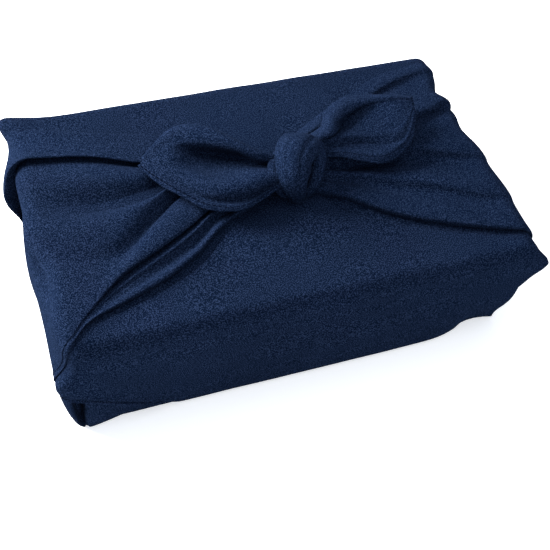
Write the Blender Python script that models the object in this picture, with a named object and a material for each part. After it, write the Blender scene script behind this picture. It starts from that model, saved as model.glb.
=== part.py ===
"""Furoshiki bundle: one square cloth wrapped round a flat box and tied on top with two ears.

The cloth is one filled solid. Every shape is first laid on a plain rounded box, then settle()
moves it a little, so that corners, walls and folds are as uneven as cloth. X runs along the
bundle, Y to its back and Z up, and the bundle stands on Z = 0, centred on the origin.
"""

from math import pi

import bmesh
import bpy
import numpy as np
from mathutils import Matrix, Vector

# Driving dimensions, in metres
LENGTH = 0.275
DEPTH = 0.173
HEIGHT = 0.080
ROUNDING = 0.008
FOOT_ROUNDING = 0.003
CENTRE = np.array((-0.0005, 0.0025, 0.0))  # of the plain box
FOOT_INSET = 0.0003  # how much narrower each wall is at the foot
WALL_BULGE = 0.0015
LAYER = 0.0016  # how far the first layer of cloth lies inside the second
CLOTH = 0.0024  # the thickness given to a loose edge
SUNK = 0.004  # how far a fold's underside lies inside what it rests on
VOXEL = 0.0012
FLAT = 0.0015
TRIANGLES = 9400

COLOUR = (0.012, 0.022, 0.070, 1.0)
ROUGHNESS = 0.85

BODY_CELLS = (60, 40, 20)  # along each side of the box
EDGE_CELLS = 3  # round each of its edges
ALONG_WING = 48
ACROSS_PLEAT = 3  # from one fold line to the next
STRAND_CELLS = (20, 16)
EAR_CELLS = (24, 2)
MM = 0.001
KNOT_DROP = 0.02  # each strand's flat side faces a point this far below its middle

# The wings' pleats, in millimetres: where each fold line lies in Y, and how far it lifts off the
# box, at ten places along the wing: three up the wall, on the rim, and in to the knot.
WALL_AT = (0.003, 0.040, 0.064)
TOP_AT = (0.120, 0.095, 0.070, 0.052, 0.038, 0.012)
LEFT_WING = (
    # fold line       wall            rim   120    95     70     52     38     neck
    ("under band",   (74, 66, 60, 54, 49.5, 43.5, 32.5, 27, 21, 13),
                     (-1.5, -1.5, -1.5, -1, -0.5, -0.5, -0.5, -0.5, 0, 0)),
    ("back rise",    (62, 52, 47, 44, 38, 32, 25, 23, 18.5, 12),
                     (1.5, 1.5, 1.5, 2, 3, 4.2, 4.8, 5, 5.4, 7)),
    ("back slope",   (50, 42, 36, 33, 26, 20.5, 18, 20, 17, 11),
                     (1.4, 1.4, 1.6, 2.4, 4.8, 5.6, 4.8, 4.6, 4.8, 6.8)),
    ("broad trough", (40, 32, 25, 21, 12, 6.5, 9.5, 15, 14.5, 10),
                     (1, 1, 1, 1.2, 0, -0.8, -1.8, -1.2, 0.4, 6)),
    ("broad rise",   (14, 8, 4, 2, -4, -5, 1.5, 10.5, 12, 9),
                     (2, 2.5, 3, 3, 4.6, 5.6, 5.6, 5, 5, 8)),
    ("soft slope",   (-4, -6, -8, -9, -16, -20, -3, 7.5, 8.5, 7),
                     (1.6, 2.2, 2.8, 2.6, 4, 5, 5, 4.6, 4.8, 7.6)),
    ("soft trough",  (-18, -19, -20, -21, -27, -29, -10, 3, 5, 5),
                     (1, 1.5, 2, 1.6, 1.4, 1.6, 0.4, -0.2, 1.2, 6.5)),
    ("trough wall",  (-22, -24, -25, -26, -36, -36, -14, 0, 2.5, 3),
                     (1.2, 1.6, 2.1, 1.8, 1.9, 2.9, 3.4, 3.6, 4, 7.5)),
    ("main rise",    (-46, -52, -57, -62, -58, -41, -22, -10, -4, -1),
                     (2, 2, 2.4, 2, 2.6, 4.6, 6, 6, 6, 9)),
    ("main lip",     (-62.6, -68.8, -74.2, -76.1, -64.5, -44.5, -31.5, -21, -12, -4),
                     (1.4, 1.6, 1.8, 2, 2.4, 4.2, 5, 5, 5, 7)),
    ("long crease",  (-62, -68, -73.5, -75.5, -64, -43, -29.5, -19, -10, -3),
                     (1.2, 1.4, 1.5, 1.8, 1.5, 0.2, 0.2, 0.3, 1, 4)),
    ("upper rib",    (-64, -70, -75, -76.9, -65.7, -48.5, -36, -25.6, -15.4, -6),
                     (1.1, 1.3, 1.4, 1.7, 1.6, 2.2, 3.2, 3.8, 4.2, 6)),
    ("rib groove",   (-64.6, -70.6, -75.4, -77.3, -66.2, -50.5, -38, -27.4, -17.2, -7),
                     (1, 1.2, 1.3, 1.6, 1.5, 1.3, 1.6, 2, 2.4, 5)),
    ("hollow",       (-65.4, -71.4, -76, -77.8, -66.8, -54, -42, -32, -20, -8.5),
                     (1, 1.1, 1.2, 1.6, 1.5, 1.3, 0.4, 0.2, 0.8, 4)),
    ("lower rib",    (-66.6, -72.4, -76.8, -78.6, -67.6, -57.6, -47.5, -37, -25, -11),
                     (0.9, 1, 1, 1.6, 1.8, 3, 3.8, 3.8, 3.6, 5)),
    ("front lip",    (-67.6, -73.2, -77.4, -79.4, -68.6, -59.8, -50.3, -39.5, -27.2, -13),
                     (0.8, 0.8, 0.8, 1.2, 1.8, 2.4, 2.8, 2.8, 2.8, 4)),
    ("front edge",   (-66.6, -72.2, -76.4, -78.6, -67.2, -57.8, -47.8, -37, -25.2, -12),
                     (-1.2, -1.2, -1.2, -1.2, -2, -3, -3.4, -3.4, -3, -2)),
)
LEFT_BAND = (
    ("back edge",    (80, 80, 80, 80, 74, 66, 58.5, 54, 47, 22),
                     (-1, -1, -1, -1, -1, -1, -1, -1, -1, -1)),
    ("crest",        (74, 73, 73, 75, 71.5, 63.5, 56, 51, 44, 20),
                     (2, 2, 1, 0.5, 1.8, 1.8, 1.8, 2, 3, 6)),
    ("slope",        (60, 58, 58, 61, 58, 51, 41, 34, 28, 15),
                     (1, 3, 7.5, 1.8, 3.2, 4.2, 4.6, 5, 5.5, 7)),
    ("lower lip",    (50, 42, 41, 48, 46.8, 41, 30.5, 25.5, 20, 12),
                     (0.5, 3.5, 9.5, 6, 4.8, 5.4, 5.4, 5, 5.5, 6.5)),
    ("lower edge",   (54, 46, 46, 52, 50.5, 44.5, 34, 29, 23.5, 15),
                     (0.5, 0.5, 0.5, 0.8, 0.8, 0.8, 0.8, 1, 1.5, 2)),
)
RIGHT_WING = (
    ("back edge",    (82, 82, 82, 82, 80, 75, 63, 54, 45, 25),
                     (-0.5, -0.5, -0.5, -0.5, -0.5, -0.5, -0.6, -1, -1, -1)),
    ("back rise",    (74, 74, 74, 73, 70, 61.5, 48, 40, 33, 17),
                     (1.2, 1.2, 1.5, 1.5, 2.2, 2.8, 3.2, 3.8, 5, 7)),
    ("back trough",  (68, 68, 67.5, 67, 65, 57.5, 44.5, 36, 29, 15),
                     (0.6, 0.6, 0.6, 0.8, 0.4, 0.3, 0.5, 1.2, 2.5, 6)),
    ("back flat",    (56, 55, 54, 53, 52, 46, 37, 29, 23, 13),
                     (1.4, 1.6, 2, 2, 2.4, 2.8, 3.2, 4, 5, 8)),
    ("upper rise",   (44, 43, 42, 41, 35, 29.5, 22.5, 17, 14, 10),
                     (1.6, 2, 3, 3.8, 4.8, 5.2, 5.6, 6, 7, 9)),
    ("upper trough", (38, 37.5, 37, 36, 31.5, 25.5, 18, 13, 11, 9),
                     (0.8, 0.8, 0.6, 0.3, -0.3, -0.3, 0.2, 1.6, 3, 7)),
    ("middle flat",  (28, 28, 27, 26, 22, 17, 11.5, 8.5, 8, 7.5),
                     (1.4, 1.4, 1.4, 1.4, 1.6, 2, 2.8, 4, 6, 8.5)),
    ("middle rise",  (4, 0, -3, -5, -3, 3, 4.5, 4, 5, 6),
                     (1.6, 2, 2.2, 2.4, 4.4, 5.6, 5.6, 5.4, 6.5, 9)),
    ("middle trough", (-6, -9, -12, -14, -11, -3, 0, 0, 1, 3),
                     (0.8, 0.8, 1.1, 1.2, 0.5, 0, 0.2, 0.6, 2, 6)),
    ("lower rise",   (-30, -33, -36, -38, -36, -24, -14.5, -7.5, -3.5, 1),
                     (1.4, 1.6, 1.8, 2, 3.8, 5, 4.8, 4.4, 5.2, 9)),
    ("lower trough", (-41, -42, -44, -46, -43.5, -31, -21, -12.5, -8, -1),
                     (1, 1, 1.1, 1.2, 1.1, 0.8, 0.6, 0.8, 1.6, 6)),
    ("front rise",   (-56, -58, -59, -60, -57, -47, -34, -22, -14, -4),
                     (1.2, 1.4, 1.8, 2, 2.8, 3.8, 4.6, 4.4, 5, 8)),
    ("front lip",    (-66, -67, -68, -69, -65.5, -56.5, -45, -33, -22, -10),
                     (0.8, 1, 1.4, 2.2, 3.4, 4.2, 4.8, 5, 5, 5.8)),
    ("front edge",   (-64, -65, -66, -67, -63.5, -54, -42.5, -30.5, -19.5, -9),
                     (-1.2, -1.2, -1.2, -1.5, -2.4, -3, -3.4, -3.4, -3.2, -2)),
)

# The second layer comes down the front wall as a flap whose side edges slant in: X, height
FLAP_LEFT = ((-0.130, 0.0365), (-0.0733, 0.001))
FLAP_RIGHT = ((0.124, 0.036), (0.104, 0.002))
FLAP_TOP = 0.044  # above this the second layer also rounds the corners

# The pocket in the first layer beside the front left corner: a line through it, its width, depth
POCKET = ((-0.133, -0.084, 0.040), (-0.130, -0.083, 0.003))
POCKET_WIDTH = 0.0075
POCKET_DEPTH = 0.0085

# The knot's strands: a path for each, with the section's half width and half thickness
STRANDS = {
    "wrap": (
        # x      y       z      wide   thick
        (0.0128, -0.0130, 0.0780, 0.0045, 0.0040),
        (0.0105, -0.0154, 0.0880, 0.0060, 0.0050),
        (0.0089, -0.0144, 0.0950, 0.0080, 0.0060),
        (0.0094, -0.0093, 0.0985, 0.0095, 0.0070),
        (0.0118, -0.0024, 0.1005, 0.0110, 0.0070),
        (0.0165, 0.0048, 0.1005, 0.0125, 0.0070),
        (0.0234, 0.0129, 0.0960, 0.0130, 0.0060),
        (0.0292, 0.0180, 0.0870, 0.0100, 0.0050),
    ),
    "lobe": (
        (0.0163, -0.0119, 0.0780, 0.0025, 0.0025),
        (0.0185, -0.0140, 0.0850, 0.0030, 0.0035),
        (0.0225, -0.0121, 0.0905, 0.0036, 0.0040),
        (0.0260, -0.0060, 0.0940, 0.0044, 0.0045),
        (0.0275, 0.0003, 0.0970, 0.0055, 0.0050),
        (0.0280, 0.0070, 0.0975, 0.0060, 0.0050),
        (0.0291, 0.0139, 0.0920, 0.0060, 0.0050),
    ),
    "collar": (
        (0.0091, -0.0110, 0.0790, 0.0020, 0.0020),
        (0.0038, -0.0124, 0.0860, 0.0030, 0.0030),
        (0.0006, -0.0097, 0.0920, 0.0036, 0.0036),
        (-0.0004, -0.0053, 0.0960, 0.0036, 0.0036),
        (0.0019, 0.0013, 0.0975, 0.0034, 0.0034),
        (0.0069, 0.0075, 0.0960, 0.0030, 0.0030),
        (0.0119, 0.0101, 0.0900, 0.0030, 0.0030),
    ),
    "core": (
        (-0.0040, -0.0040, 0.087, 0.005, 0.004),
        (0.0020, -0.0030, 0.090, 0.008, 0.007),
        (0.0110, -0.0020, 0.091, 0.011, 0.008),
        (0.0210, 0.0010, 0.091, 0.010, 0.007),
        (0.0290, 0.0040, 0.090, 0.007, 0.005),
        (0.0350, 0.0060, 0.088, 0.004, 0.003),
    ),
}

# The ears' folds, from the loose front hem to the back: where each lies (x, y, z) at seven places
# from the knot to the tip
LEFT_EAR = {
    "hem": (
        (0.003, -0.014, 0.095), (-0.012, -0.020, 0.092), (-0.025, -0.023, 0.0905),
        (-0.042, -0.017, 0.0895), (-0.053, -0.005, 0.0895), (-0.064, 0.008, 0.0895),
        (-0.072, 0.024, 0.0895),
    ),
    "lip": (
        (0.003, -0.013, 0.096), (-0.011, -0.018, 0.0935), (-0.024, -0.021, 0.0922),
        (-0.040, -0.015, 0.0916), (-0.051, -0.004, 0.0914), (-0.062, 0.010, 0.091),
        (-0.071, 0.024, 0.09),
    ),
    "dark foot": (
        (0.004, -0.011, 0.0955), (-0.010, -0.014, 0.0925), (-0.023, -0.016, 0.0912),
        (-0.039, -0.012, 0.0912), (-0.050, -0.002, 0.0913), (-0.061, 0.011, 0.0913),
        (-0.071, 0.024, 0.09),
    ),
    "fold front": (
        (0.004, -0.010, 0.097), (-0.011, -0.014, 0.0983), (-0.024, -0.015, 0.0973),
        (-0.037, -0.011, 0.0955), (-0.049, -0.000, 0.0934), (-0.060, 0.012, 0.0922),
        (-0.071, 0.024, 0.0902),
    ),
    "belly": (
        (0.005, -0.008, 0.098), (-0.010, -0.009, 0.0995), (-0.022, -0.009, 0.099),
        (-0.035, -0.004, 0.0975), (-0.046, 0.006, 0.0952), (-0.058, 0.015, 0.0934),
        (-0.070, 0.024, 0.0904),
    ),
    "lap": (
        (0.006, -0.005, 0.097), (-0.008, -0.002, 0.097), (-0.018, 0.004, 0.0925),
        (-0.029, 0.009, 0.0902), (-0.040, 0.014, 0.0914), (-0.054, 0.018, 0.0952),
        (-0.070, 0.025, 0.0906),
    ),
    "slit": (
        (0.008, 0.000, 0.094), (-0.006, 0.005, 0.092), (-0.016, 0.015, 0.0894),
        (-0.025, 0.022, 0.0886), (-0.036, 0.025, 0.0898), (-0.051, 0.023, 0.0962),
        (-0.069, 0.025, 0.0908),
    ),
    "under brow": (
        (0.008, 0.001, 0.095), (-0.006, 0.005, 0.0956), (-0.015, 0.015, 0.0943),
        (-0.025, 0.021, 0.094), (-0.035, 0.024, 0.0946), (-0.051, 0.026, 0.097),
        (-0.069, 0.025, 0.091),
    ),
    "brow": (
        (0.007, -0.000, 0.098), (-0.007, 0.003, 0.101), (-0.017, 0.010, 0.1026),
        (-0.026, 0.016, 0.1026), (-0.035, 0.022, 0.1014), (-0.050, 0.029, 0.098),
        (-0.069, 0.025, 0.0911),
    ),
    "crest": (
        (0.007, 0.001, 0.1), (-0.007, 0.007, 0.1035), (-0.017, 0.015, 0.1055),
        (-0.027, 0.026, 0.1055), (-0.037, 0.034, 0.1035), (-0.050, 0.037, 0.0992),
        (-0.069, 0.027, 0.0911),
    ),
    "back": (
        (0.007, 0.006, 0.095), (-0.005, 0.017, 0.094), (-0.014, 0.027, 0.094),
        (-0.024, 0.038, 0.093), (-0.035, 0.046, 0.092), (-0.049, 0.046, 0.091),
        (-0.069, 0.029, 0.0895),
    ),
}
RIGHT_EAR = {
    "hem": (
        (0.021, 0.004, 0.092), (0.041, 0.001, 0.092), (0.054, -0.005, 0.0915),
        (0.065, -0.009, 0.091), (0.077, -0.006, 0.091), (0.090, 0.004, 0.092),
        (0.100, 0.023, 0.094),
    ),
    "strip": (
        (0.021, 0.006, 0.093), (0.043, 0.003, 0.094), (0.055, -0.001, 0.0938),
        (0.065, -0.005, 0.0935), (0.076, -0.002, 0.0932), (0.088, 0.006, 0.0932),
        (0.100, 0.024, 0.0944),
    ),
    "groove": (
        (0.023, 0.010, 0.0935), (0.046, 0.009, 0.0925), (0.058, 0.007, 0.0919),
        (0.067, 0.004, 0.0918), (0.076, 0.003, 0.0921), (0.086, 0.007, 0.0930),
        (0.100, 0.026, 0.0947),
    ),
    "under edge": (
        (0.023, 0.0105, 0.0945), (0.046, 0.0105, 0.094), (0.058, 0.009, 0.0934),
        (0.067, 0.007, 0.0932), (0.075, 0.006, 0.0932), (0.085, 0.0085, 0.0938),
        (0.100, 0.027, 0.0948),
    ),
    "edge": (
        (0.024, 0.011, 0.0957), (0.045, 0.012, 0.0962), (0.057, 0.0115, 0.0956),
        (0.066, 0.0105, 0.095), (0.075, 0.010, 0.0945), (0.085, 0.011, 0.0944),
        (0.101, 0.029, 0.095),
    ),
    "dish front": (
        (0.024, 0.0125, 0.0961), (0.047, 0.015, 0.0956), (0.059, 0.0155, 0.0947),
        (0.069, 0.0155, 0.0942), (0.078, 0.015, 0.094), (0.086, 0.0155, 0.0942),
        (0.101, 0.030, 0.0952),
    ),
    "dish": (
        (0.026, 0.011, 0.096), (0.050, 0.019, 0.0935), (0.061, 0.022, 0.093),
        (0.070, 0.025, 0.0935), (0.079, 0.025, 0.0941), (0.088, 0.024, 0.095),
        (0.101, 0.030, 0.0955),
    ),
    "slit": (
        (0.028, 0.011, 0.0955), (0.049, 0.022, 0.0910), (0.056, 0.031, 0.0912),
        (0.065, 0.035, 0.0928), (0.076, 0.034, 0.0950), (0.088, 0.032, 0.0962),
        (0.101, 0.031, 0.096),
    ),
    "brow": (
        (0.026, 0.010, 0.0975), (0.042, 0.013, 0.0987), (0.048, 0.022, 0.0988),
        (0.059, 0.030, 0.0974), (0.074, 0.035, 0.0967), (0.088, 0.034, 0.097),
        (0.101, 0.032, 0.0963),
    ),
    "roll": (
        (0.025, 0.012, 0.098), (0.039, 0.017, 0.0998), (0.046, 0.027, 0.1),
        (0.058, 0.036, 0.0985), (0.075, 0.038, 0.0971), (0.088, 0.036, 0.0978),
        (0.101, 0.032, 0.097),
    ),
    "back": (
        (0.026, 0.020, 0.092), (0.038, 0.024, 0.095), (0.045, 0.036, 0.0945),
        (0.059, 0.045, 0.0938), (0.077, 0.044, 0.094), (0.091, 0.040, 0.095),
        (0.102, 0.035, 0.0955),
    ),
}

# The front left corner under the flap: folds that stand side by side, from the left wall round to
# the front one, each at seven heights, with a deep pocket between the corner and the front panel.
TUCK_AT = (0.046, 0.036, 0.025, 0.014, 0.006, 0.002, 0.000)
TUCK = (
    # fold          X in mm, then Y in mm
    ("wall",        (-136.5, -137, -137, -136.5, -135.5, -134.5, -134),
                    (-52, -52, -52, -52, -52, -52, -52)),
    ("side",        (-138.4, -139.4, -138.9, -137.9, -136.8, -135.8, -135.2),
                    (-71, -72, -72, -72, -73, -74, -75)),
    ("corner",      (-138.8, -139.4, -138.8, -137.5, -135.8, -134.4, -133.7),
                    (-79, -80, -80, -80, -80.4, -80.6, -80.2)),
    ("edge",        (-135.4, -135.3, -135, -134.4, -133.2, -131.8, -131.2),
                    (-84.4, -85.6, -86, -85.8, -84.8, -84, -83.3)),
    ("inside",      (-134, -134.4, -134.4, -134, -132.8, -131.2, -130.7),
                    (-80, -80, -80, -80, -81.4, -82.6, -82.8)),
    ("pocket",      (-130.8, -131, -131, -131, -131, -130, -129.8),
                    (-71, -71, -71, -72, -77.6, -81.8, -82.6)),
    ("panel side",  (-127, -127, -127.6, -128.8, -129.3, -128.9, -128.6),
                    (-80, -80, -80, -80.4, -82.2, -83.5, -83.3)),
    ("panel edge",  (-126.8, -126.8, -127.2, -128.2, -128.2, -127.5, -127.1),
                    (-83.6, -84.6, -85, -85, -84.9, -84.6, -84.2)),
    ("panel",       (-118, -118, -118, -118, -118, -118, -118),
                    (-83.4, -84.2, -84.6, -84.8, -84.5, -83.6, -82.9)),
    ("panel end",   (-98, -98, -98, -98, -98, -98, -98),
                    (-80, -80, -80, -80, -80, -79.6, -79)),
)

# Where cloth stands out of, or into, the plain box: a centre, how far the push reaches along each
# axis, and the push
PUSHES = (
    # name                x       y       z      reach x reach y reach z  by x    by y    by z
    ("back left tip",    -0.138,  0.088, 0.078,  0.016,  0.012,  0.014, -0.0080, 0.005,  0.001),
    ("front left rim",   -0.138, -0.084, 0.070,  0.020,  0.022,  0.022,  0.0075, 0.000,  0.000),
    ("left rim pull",    -0.138, -0.050, 0.072,  0.020,  0.014,  0.020,  0.0030, 0.000,  0.000),
    ("front left tip",   -0.138, -0.083, 0.048,  0.014,  0.012,  0.007, -0.0045, -0.001, 0.000),
    ("front right fin",   0.137, -0.083, 0.062,  0.012,  0.014,  0.009,  0.0095, 0.000,  0.000),
    ("fin tip",           0.137, -0.084, 0.061,  0.012,  0.007,  0.004,  0.0025, 0.000,  0.000),
    ("front right foot",  0.122, -0.083, 0.002,  0.022,  0.022,  0.020, -0.0030, 0.0074, 0.000),
    ("right rim back",    0.136,  0.051, 0.074,  0.020,  0.012,  0.020, -0.0075, 0.000,  0.000),
    ("right rim middle",  0.136,  0.018, 0.074,  0.020,  0.013,  0.020, -0.0045, 0.000,  0.000),
    ("right rim front",   0.136, -0.040, 0.074,  0.020,  0.018,  0.020,  0.0015, 0.000,  0.000),
    ("left rim dent",    -0.138, -0.030, 0.080,  0.016,  0.018,  0.014,  0.006,  0.000, -0.001),
    ("left wall pouch",  -0.138, -0.008, 0.044,  0.020,  0.016,  0.020, -0.002,  0.000,  0.000),
)


def curve(stations, values, at):
    """Return a smooth curve through values at rising stations, read at the places in at."""
    stations, values, at = (np.asarray(a, float) for a in (stations, values, at))
    slopes = np.gradient(values, stations, axis=0)
    k = np.clip(np.searchsorted(stations, at, side="right") - 1, 0, len(stations) - 2)
    step = stations[k + 1] - stations[k]
    t = (at - stations[k]) / step
    if values.ndim > 1:
        t, step = t[:, None], step[:, None]
    start = values[k] * (1 + 2 * t) * (1 - t) ** 2 + slopes[k] * step * t * (1 - t) ** 2
    end = values[k + 1] * t**2 * (3 - 2 * t) + slopes[k + 1] * step * t**2 * (t - 1)
    return start + end


def settle(points):
    """Move points on the plain box to where the cloth of the bundle really lies."""
    p = np.array(points, float).reshape(-1, 3)
    height = np.clip(p[:, 2] / HEIGHT, 0, 1)
    belly = WALL_BULGE * np.sin(pi * height)
    for axis, half in ((0, LENGTH / 2), (1, DEPTH / 2)):
        share = p[:, axis] / half
        p[:, axis] += share * (belly - FOOT_INSET * (1 - height) ** 3) * np.minimum(1, abs(share))
    p += CENTRE
    moved = np.zeros_like(p)
    for _, x, y, z, reach_x, reach_y, reach_z, *by in PUSHES:
        far = (p - (x, y, z)) / (reach_x, reach_y, reach_z)
        moved += np.exp(-(far**2).sum(axis=1))[:, None] * by
    moved[:, 2] *= height
    return (p + moved).reshape(np.shape(points))


def new_object(name, points, faces):
    """Add a mesh object of triangles, whose faces point out where it is closed."""
    mesh = bpy.data.meshes.new(name)
    mesh.from_pydata(np.reshape(points, (-1, 3)).tolist(), [], faces)
    shape = bmesh.new()
    shape.from_mesh(mesh)
    bmesh.ops.triangulate(shape, faces=shape.faces)
    bmesh.ops.recalc_face_normals(shape, faces=shape.faces)
    shape.to_mesh(mesh)
    shape.free()
    made = bpy.data.objects.new(name, mesh)
    bpy.context.scene.collection.objects.link(made)
    return made


def side_stations(half, cells):
    """Return the grid stations along one side of the box, with EDGE_CELLS round each edge."""
    round_edge = [half - ROUNDING * (1 - k / EDGE_CELLS) for k in range(EDGE_CELLS + 1)]
    flat = np.linspace(-half + ROUNDING, half - ROUNDING, cells + 1)
    return np.array([-s for s in reversed(round_edge)] + list(flat[1:-1]) + round_edge)


def box_grid():
    """Return the grid points and faces of a plain sharp box."""
    halves = np.array((LENGTH, DEPTH, HEIGHT)) / 2
    sides = [side_stations(half, cells) for half, cells in zip(halves, BODY_CELLS)]
    last = [len(side) - 1 for side in sides]
    index, points, faces = {}, [], []

    def corner(*ijk):
        if ijk not in index:
            index[ijk] = len(points)
            points.append([side[n] for side, n in zip(sides, ijk)])
        return index[ijk]

    for axis in range(3):
        u, v = (axis + 1) % 3, (axis + 2) % 3
        for end in (0, last[axis]):
            for i in range(last[u]):
                for j in range(last[v]):
                    ring = []
                    for di, dj in ((0, 0), (1, 0), (1, 1), (0, 1)):
                        ijk = [0, 0, 0]
                        ijk[axis], ijk[u], ijk[v] = end, i + di, j + dj
                        ring.append(corner(*ijk))
                    faces.append(ring if end else ring[::-1])
    return np.array(points), faces


def beyond(edge, x, z, side):
    """Return where points of the front wall lie outside one slanting side edge of the flap."""
    (x_top, z_top), (x_foot, z_foot) = edge
    at = x_foot + (z - z_foot) * (x_top - x_foot) / (z_top - z_foot)
    return side * (x - at) > 0


def first_layer(points):
    """Return which points of the box show its first layer: the second doesn't cover them."""
    x, y, z = (points + CENTRE).T
    z = z + HEIGHT / 2
    front = (y < CENTRE[1] - DEPTH / 2 + ROUNDING) & (z < FLAP_TOP)
    front &= beyond(FLAP_LEFT, x, z, -1) | beyond(FLAP_RIGHT, x, z, 1)
    wall = (abs(points[:, 0]) > LENGTH / 2 - ROUNDING) & (z < HEIGHT - ROUNDING)
    wall &= abs(points[:, 1]) < DEPTH / 2 - ROUNDING
    return front | wall | (z <= 0)


def pocket(points):
    """Return how deep the pocket beside the front left corner is at each point."""
    start, end = (np.array(place) for place in POCKET)
    along = end - start
    t = np.clip((points - start) @ along / (along @ along), 0, 1)
    far = np.linalg.norm(points - start - t[:, None] * along, axis=1)
    return POCKET_DEPTH * np.exp(-((far / POCKET_WIDTH) ** 2))


def body():
    """Add the rounded box, a layer thinner wherever only the first layer of cloth covers it."""
    points, faces = box_grid()
    halves = np.array((LENGTH, DEPTH, HEIGHT)) / 2
    up = np.clip(points[:, 2:] / HEIGHT + 0.5, 0, 1)
    radius = FOOT_ROUNDING + (ROUNDING - FOOT_ROUNDING) * np.sqrt(up)
    inner = np.clip(points, radius - halves, halves - radius)
    out = points - inner
    out /= np.maximum(np.linalg.norm(out, axis=1), 1e-9)[:, None]
    inside = np.where(first_layer(points), LAYER, 0.0)
    inside += np.where(inside > 0, pocket(points + CENTRE + (0, 0, HEIGHT / 2)), 0.0)
    stood = inner + out * (radius - inside[:, None]) + (0, 0, HEIGHT / 2)
    stood[:, 2] -= inside * (1 - stood[:, 2] / HEIGHT)
    return new_object("body", settle(stood), faces)


def over_rim(run, side):
    """Return the points and outward normals at run along the wall, round the rim and inwards."""
    wall = HEIGHT - ROUNDING
    turn = np.clip((run - wall) / ROUNDING, 0, pi / 2)
    inwards = np.maximum(run - wall - ROUNDING * pi / 2, 0)
    out = LENGTH / 2 - ROUNDING * (1 - np.cos(turn)) - inwards
    up = np.minimum(run, wall) + ROUNDING * np.sin(turn)
    return np.stack([side * out, up], 1), np.stack([side * np.cos(turn), np.sin(turn)], 1)


def wing_runs(side):
    """Return how far along over_rim each of a wing's ten stations is."""
    rim = HEIGHT - ROUNDING + ROUNDING * pi / 4
    flat = HEIGHT - ROUNDING + ROUNDING * pi / 2 + LENGTH / 2 - ROUNDING
    return list(WALL_AT) + [rim] + [flat - (x - side * CENTRE[0]) for x in TOP_AT]


def grid_faces(rows, columns, first=0, flip=False):
    """Return the faces of a grid of points numbered from first."""
    faces = []
    for i in range(rows - 1):
        for j in range(columns - 1):
            a = first + i * columns + j
            ring = [a, a + 1, a + columns + 1, a + columns]
            faces.append(ring[::-1] if flip else ring)
    return faces


def slab(name, upper, lower, flip):
    """Add the closed body between two grids of points."""
    rows, columns = upper.shape[:2]
    count = rows * columns
    faces = grid_faces(rows, columns, flip=flip) + grid_faces(rows, columns, count, not flip)
    rim = [(0, j) for j in range(columns)] + [(i, columns - 1) for i in range(1, rows)]
    rim += [(rows - 1, j) for j in range(columns - 2, -1, -1)] + [(i, 0) for i in range(rows - 2, 0, -1)]
    ids = [i * columns + j for i, j in rim]
    for a, b in zip(ids, ids[1:] + ids[:1]):
        ring = [b, a, a + count, b + count]
        faces.append(ring[::-1] if flip else ring)
    return new_object(name, np.concatenate([upper, lower]), faces)


def wing(name, pleats, side):
    """Add one wing: its pleats run up the wall, over the rim and into the knot."""
    stations = wing_runs(side)
    run = np.linspace(stations[0], stations[-1], ALONG_WING + 1)
    lines = np.array([[y, lift] for _, y, lift in pleats]) * MM
    count = len(lines)
    lines = curve(stations, lines.reshape(count * 2, -1).T, run).T.reshape(count, -1)
    spots = np.linspace(0, count - 1, (count - 1) * ACROSS_PLEAT + 1)
    y, lift = np.split(curve(np.arange(count), lines, spots), 2, axis=1)
    y = y.T - CENTRE[1]
    base, normal = over_rim(run, side)
    past = np.clip(abs(y) - (DEPTH / 2 - ROUNDING), 0, ROUNDING)
    drop = ROUNDING - np.sqrt(ROUNDING**2 - past**2)  # round the box's corners
    layers = []
    for off in (lift.T - drop, -SUNK - drop):
        xz = base[:, None] + normal[:, None] * off[:, :, None]
        layers.append(settle(np.stack([xz[..., 0], y, xz[..., 1]], 2)))
    return slab(name, *layers, flip=side < 0)


def strand(name, rows):
    """Add one rolled strand of the knot, a tube with a flattened section."""
    rows = np.array(rows)
    along, around = STRAND_CELLS
    read = curve(np.arange(len(rows)), rows, np.linspace(0, len(rows) - 1, along + 1))
    path = read[:, :3]
    ahead = np.gradient(path, axis=0)
    ahead /= np.linalg.norm(ahead, axis=1)[:, None]
    out = path - (rows[:, :3].mean(axis=0) - (0, 0, KNOT_DROP))
    out -= ahead * (out * ahead).sum(axis=1)[:, None]
    out /= np.linalg.norm(out, axis=1)[:, None]
    across = np.cross(ahead, out)
    angle = np.linspace(0, 2 * pi, around, endpoint=False)
    ring = across[:, None] * (np.cos(angle)[:, None] * read[:, 3, None, None])
    ring = path[:, None] + ring + out[:, None] * (np.sin(angle)[:, None] * read[:, 4, None, None])
    faces = []
    for i in range(along):
        for j in range(around):
            a, b = i * around + j, i * around + (j + 1) % around
            faces.append([a, b, b + around, a + around])
    faces.append(list(range(around))[::-1])
    faces.append([along * around + j for j in range(around)])
    return new_object(name, ring, faces)


def leaf(name, folds):
    """Add one leaf of cloth drawn through its folds, with the thickness of a loose edge."""
    lines = np.array(folds)
    count, places = lines.shape[:2]
    along, across = EAR_CELLS[0], (count - 1) * EAR_CELLS[1]
    lines = lines.transpose(1, 0, 2).reshape(places, -1)
    read = curve(np.arange(places), lines, np.linspace(0, places - 1, along + 1))
    read = read.reshape(along + 1, count, 3).transpose(1, 0, 2).reshape(count, -1)
    points = curve(np.arange(count), read, np.linspace(0, count - 1, across + 1))
    made = new_object(name, points, grid_faces(across + 1, along + 1))
    thick = made.modifiers.new("thickness", "SOLIDIFY")
    thick.thickness = CLOTH
    thick.offset = 0
    return made


def tuck():
    """Add the front left corner's own folds."""
    rows = [[(x * MM, y * MM, z) for x, y, z in zip(xs, ys, TUCK_AT)] for _, xs, ys in TUCK]
    return leaf("tuck", rows)


def clear_scene():
    for old in list(bpy.data.objects):
        bpy.data.objects.remove(old, do_unlink=True)


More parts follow.
